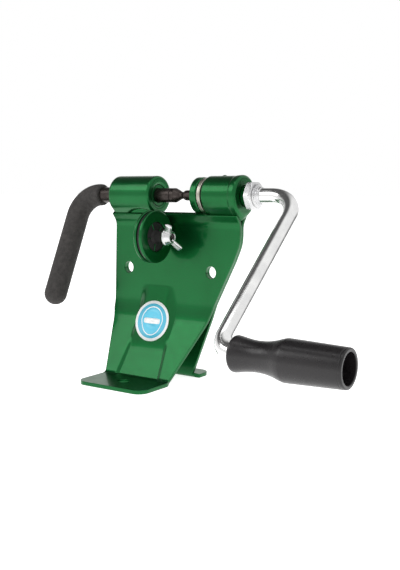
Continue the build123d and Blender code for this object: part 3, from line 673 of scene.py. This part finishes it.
G0, G1 = GRIP_LO[0], GRIP_HI[0]
GRIP_BORE, POCKET_X = 6.1, 186    # bore on the bar and bottom of the pocket in the end
grip_outside = flowing([(G0, 9.6), (G0 + 0.3, 10.9), (G0 + 1.6, 11.8), (G0 + 4.5, 11.5),
                        (G0 + 9.5, 10.6),
                        (G0 + 15, 10.0), (G0 + 20, 10.0), (G0 + 25, 10.5), (G0 + 30, 11.6), (G0 + 34.0, 12.9),
                        (G0 + 36.0, 13.45)])
grip_rest = softened([(G0 + 36.0, 13.45), (G0 + 37.4, 13.75), (G0 + 40, 13.7), (G1 - 2.6, 12.6),
                      (G1 - 2.3, 12.35), (G1 - 1.9, 12.6), (G1, 12.4), (G1, 9.9), (POCKET_X, 9.7),
                      (POCKET_X, GRIP_BORE), (G0, GRIP_BORE), (G0, 9.6)],
                     [0, 0.8, 1.5, 0.2, 0.2, 0.2, 0.9, 0.6, 0.3, 0.2, 0.3, 0])
grip_line = np.concatenate([grip_outside[:-1], grip_rest[:-1]])
turned("crank_grip_moulding", grip_line, PLASTIC, "black_plastic", "grip", ("crank_grip",),
       y=GRIP_Y, z=GRIP_Z, turns=144, ring=True, smooth=False)

# ------------------------------------------------------------------ chain support discs
HUB = {"y": DISC_Y, "z": DISC_Z}
turned("rear_disc_turned", ring_profile(DISC_LO[0], DISC_HI[0], DISC_R, STUD_FIT), GREEN,
       "green_paint", "wheel", ("rear_disc",), radius=1.0, ring=True, turns=160, **HUB)
turned("spacer_ring_turned", ring_profile(DISC_HI[0] + 0.02, DISC_HI[0] + 2.7, 19.6, STUD_FIT), INSERT,
       "black_insert", "wheel", ("spacer_ring",), radius=0.3, ring=True, turns=144, **HUB)
FACE_LO, FACE_HI = box_mm("front_disc")
turned("front_disc_turned", [(FACE_LO[0], 11.75), (FACE_LO[0], DISC_R), (FACE_HI[0] - 0.5, DISC_R),
                             (FACE_HI[0], 20.2), (FACE_HI[0] - 0.15, 12.6), (FACE_HI[0] - 0.6, 11.75)],
       GREEN, "green_paint", "wheel", ("front_disc",), radius=0.6, ring=True, turns=160, **HUB)
turned("hub_insert_dish", [(FACE_LO[0], STUD_FIT), (FACE_LO[0], 11.7), (FACE_LO[0] + 1.0, 11.7),
                           (FACE_LO[0] + 0.8, 5.5), (FACE_LO[0] + 2.6, 4.8), (23.0, 4.3), (23.0, STUD_FIT)],
       INSERT, "black_insert", "wheel", ("hub_insert",), radius=0.4, ring=True, turns=96, **HUB)


def rib(name, turn):
    """Thin raised rib from the hub to the disc: an oval bar, half width 0.34 mm."""
    t = np.linspace(0, 1, 9)[:, None]
    a = np.linspace(0, 2 * np.pi, 12, endpoint=False)[None, :]
    swell = np.clip(np.minimum(t, 1 - t) * 12, 0, 1)
    rho, off = 5.2 + 6.6 * t + 0 * a, 0.34 * np.cos(a) * swell
    x = FACE_LO[0] + 0.95 + 0.5 * np.sin(a) * swell
    y = DISC_Y + rho * np.cos(turn) - off * np.sin(turn)
    z = DISC_Z + rho * np.sin(turn) + off * np.cos(turn)
    return piece(name, np.stack([x, y, z], -1).reshape(-1, 3), quads(9, 12, wrap_cols=True), GREEN,
                 "wheel")


for number in range(5):
    rib(f"hub_rib_{number}", np.radians((115 + 72 * number) % 360))


# ------------------------------------------------------------------ wing nut
turned("wing_hub", [(WING_LO[0], 3.1), (WING_LO[0], 6.4), (WING_LO[0] + 0.7, 6.9), (WING_LO[0] + 1.8, 6.9),
                    (WING_LO[0] + 2.3, 6.1), (WING_LO[0] + 4.5, 5.5), (31.8, 4.6), (31.8, 3.1)],
       NUT_ZINC, "zinc_steel", "wing", ("wing_nut",), radius=0.45, ring=True, turns=96, **HUB)


WING_REACH, WING_LEAN = 11.2, (0.50, 0.866)


def squared(v):
    """Sign of v times |v| ** 0.55, which squares up a circle."""
    return np.sign(v) * np.abs(v) ** 0.55


def wing(name, turn):
    """One wing: superellipse sections square to a line that leans outwards. Half width 3.0 to
    3.15 mm, half thickness 1.45 to 1.0 mm, both closing over the last fifth."""
    t = np.linspace(0, 1, 30)[:, None]
    a = np.linspace(0, 2 * np.pi, 40, endpoint=False)[None, :]
    mid_x, mid_r = 28.4 + WING_REACH * t * WING_LEAN[0], 3.2 + WING_REACH * t * WING_LEAN[1]
    close = np.sqrt(np.clip(1 - np.clip((t - 0.80) / 0.20, 0, 1) ** 3.5, 0, 1))
    wide, thick = (3.0 + 0.15 * t) * close, (1.45 - 0.45 * t) * close
    w, o = wide * squared(np.cos(a)), thick * squared(np.sin(a))
    rho = mid_r - w * WING_LEAN[0]
    x = mid_x + w * WING_LEAN[1]
    y = DISC_Y + rho * np.cos(turn) - o * np.sin(turn)
    z = DISC_Z + rho * np.sin(turn) + o * np.cos(turn)
    grid = np.stack([x, y, z], -1)
    return piece(name, grid.reshape(-1, 3), quads(30, 40, wrap_cols=True), NUT_ZINC, "wing")


wing("wing_lower", np.radians(-51))
wing("wing_upper", np.radians(129))

# ------------------------------------------------------------------ round label on the panel
LABEL_AT = (LABEL_LO + LABEL_HI) / 2
ALONG = np.array([0, np.sin(PAD_TILT), np.cos(PAD_TILT)])
OUT = np.array([0, -np.cos(PAD_TILT), np.sin(PAD_TILT)])
LABEL_BASE = LABEL_AT - OUT * 0.15
POINT, LABEL_R, FIELD_R = 0.01, 17.0, 14.7


def print_shape(name, inner, outer, low, high, material, nodes=(), turns=144):
    """Flat printed shape between two outlines r(angle) about the label's middle, low to high mm
    above the panel; inner is POINT for a full shape."""
    a = np.linspace(0, 2 * np.pi, turns, endpoint=False)
    r_in, r_out = inner(a) * np.ones_like(a), outer(a) * np.ones_like(a)
    rows = [(r_in, low), (r_out, low), (r_out, high), (r_in, high)]
    ray = np.cos(a)[:, None] * np.array([1, 0, 0]) + np.sin(a)[:, None] * ALONG
    grid = np.stack([LABEL_BASE + r[:, None] * ray + OUT * h
                     for r, h in rows])
    return piece(name, grid.reshape(-1, 3), quads(4, turns, True, True), material, "frame",
                 nodes)


def bar(a, half_long, half_high):
    """Outline of a rounded bar: r = (|cos a / long| ** 6 + |sin a / high| ** 6) ** (-1/6)."""
    return (np.abs(np.cos(a) / half_long) ** 6 + np.abs(np.sin(a) / half_high) ** 6) ** (-1 / 6)


def shield(a, size):
    """Shield outline: r = size (1 - 0.10 cos(a) ** 2 - 0.22 d (1 - d)), with d = -sin a below the
    middle and 0 above it."""
    low = np.clip(-np.sin(a), 0, 1)
    return size * (1 - 0.10 * np.abs(np.cos(a)) ** 2 - 0.22 * low * (1 - low))


def ring_of(r):
    """Outline of a circle."""
    return lambda a: np.full_like(a, r)


print_shape("label_disc", ring_of(POINT), ring_of(LABEL_R), 0.0, 0.22, WHITE_PRINT, ("safety_label",))
print_shape("label_field", ring_of(POINT), ring_of(FIELD_R), 0.1, 0.26, BLUE_PRINT)
print_shape("label_shield", lambda a: shield(a, 11.4), lambda a: shield(a, 12.2), 0.1, 0.29, WHITE_PRINT)
print_shape("label_bar", ring_of(POINT), lambda a: bar(a, 8.2, 2.3), 0.1, 0.29, WHITE_PRINT)

# ------------------------------------------------------------------ camera, light and floor
EYE_AT = (0.4091, -0.4877, 0.1568)
RIGHT, UP, BACK = (0.8241, 0.5664, 0.0), (-0.0681, 0.0990, 0.9928), (0.5623, -0.8182, 0.1201)
lens = bpy.data.cameras.new("lens")
lens.lens, lens.sensor_width, lens.clip_start, lens.clip_end = 51.16, 36, 0.01, 60
eye = bpy.data.objects.new("eye", lens)
bpy.context.scene.collection.objects.link(eye)
eye.matrix_world = Matrix([(*[v[k] for v in (RIGHT, UP, BACK)], EYE_AT[k])
                           for k in range(3)] + [(0, 0, 0, 1)])
bpy.context.scene.camera = eye
bpy.context.scene.view_settings.view_transform = "Standard"


def softbox(name, place, aim, size, power):
    """Rectangular light at place, turned to face aim, both in metres."""
    data = bpy.data.lights.new(name, "AREA")
    data.shape, data.size, data.size_y = "RECTANGLE", size[0], size[1]
    data.energy = power
    light = bpy.data.objects.new(name, data)
    bpy.context.scene.collection.objects.link(light)
    back = np.array(place, float) - np.array(aim, float)
    back /= np.linalg.norm(back)
    side = np.cross((0, 0, 1), back)
    side /= np.linalg.norm(side)
    up = np.cross(back, side)
    light.matrix_world = Matrix([(side[k], up[k], back[k], place[k]) for k in range(3)] + [(0, 0, 0, 1)])


CENTRE = (0.02, 0.03, 0.10)
softbox("key", (-0.62, -0.72, 0.86), CENTRE, (0.75, 0.55), 3.8)
softbox("crown", (-0.05, -0.30, 1.15), CENTRE, (0.9, 0.18), 0.9)

world = bpy.data.worlds.new("studio")
bpy.context.scene.world = world
world.use_nodes = True
tree = world.node_tree
background = tree.nodes["Background"]
coords, split = tree.nodes.new("ShaderNodeTexCoord"), tree.nodes.new("ShaderNodeSeparateXYZ")
tree.links.new(coords.outputs["Generated"], split.inputs[0])


def band(output, low, high, at_low, at_high):
    """Smooth step of one value between two levels."""
    node = tree.nodes.new("ShaderNodeMapRange")
    node.interpolation_type = "SMOOTHSTEP"
    tree.links.new(output, node.inputs[0])
    for k, value in enumerate((low, high, at_low, at_high)):
        node.inputs[k + 1].default_value = value
    return node.outputs[0]


def times(a, b, operation="MULTIPLY"):
    """Two values joined by one math node."""
    node = tree.nodes.new("ShaderNodeMath")
    node.operation = operation
    tree.links.new(a, node.inputs[0])
    tree.links.new(b, node.inputs[1])
    return node.outputs[0]


# White all round at eye level, dark overhead on the left, dark low down behind on the right.
overhead = band(split.outputs["Z"], 0.22, 0.62, 1.0, 0.10)
lit_side = band(split.outputs["X"], -0.45, 0.05, 0.0, 1.0)
toward = tree.nodes.new("ShaderNodeVectorMath")
toward.operation = "DOT_PRODUCT"
toward.inputs[1].default_value = (0.60, 0.66, -0.45)
tree.links.new(coords.outputs["Generated"], toward.inputs[0])
behind = band(toward.outputs["Value"], 0.68, 0.88, 1.0, 0.10)
tree.links.new(times(times(overhead, lit_side, "MAXIMUM"), behind), background.inputs[1])
background.inputs[0].default_value = (1, 1, 1, 1)

floor_mesh = bpy.data.meshes.new("floor")
REACH, FLOOR_DROP = 12, 0.0003
floor_mesh.from_pydata([(-REACH, -REACH, 0), (REACH, -REACH, 0), (REACH, REACH, 0),
                        (-REACH, REACH, 0)], [], [(0, 1, 2, 3)])
floor = bpy.data.objects.new("floor", floor_mesh)
bpy.context.scene.collection.objects.link(floor)
floor.location.z = -FLOOR_DROP
floor_finish = Finish("pale_floor", (0.85, 0.85, 0.85), Roughness=0.9, Emission_Color=(1, 1, 1, 1),
                      Emission_Strength=0.85)
floor_mesh.materials.append(floor_finish.material)
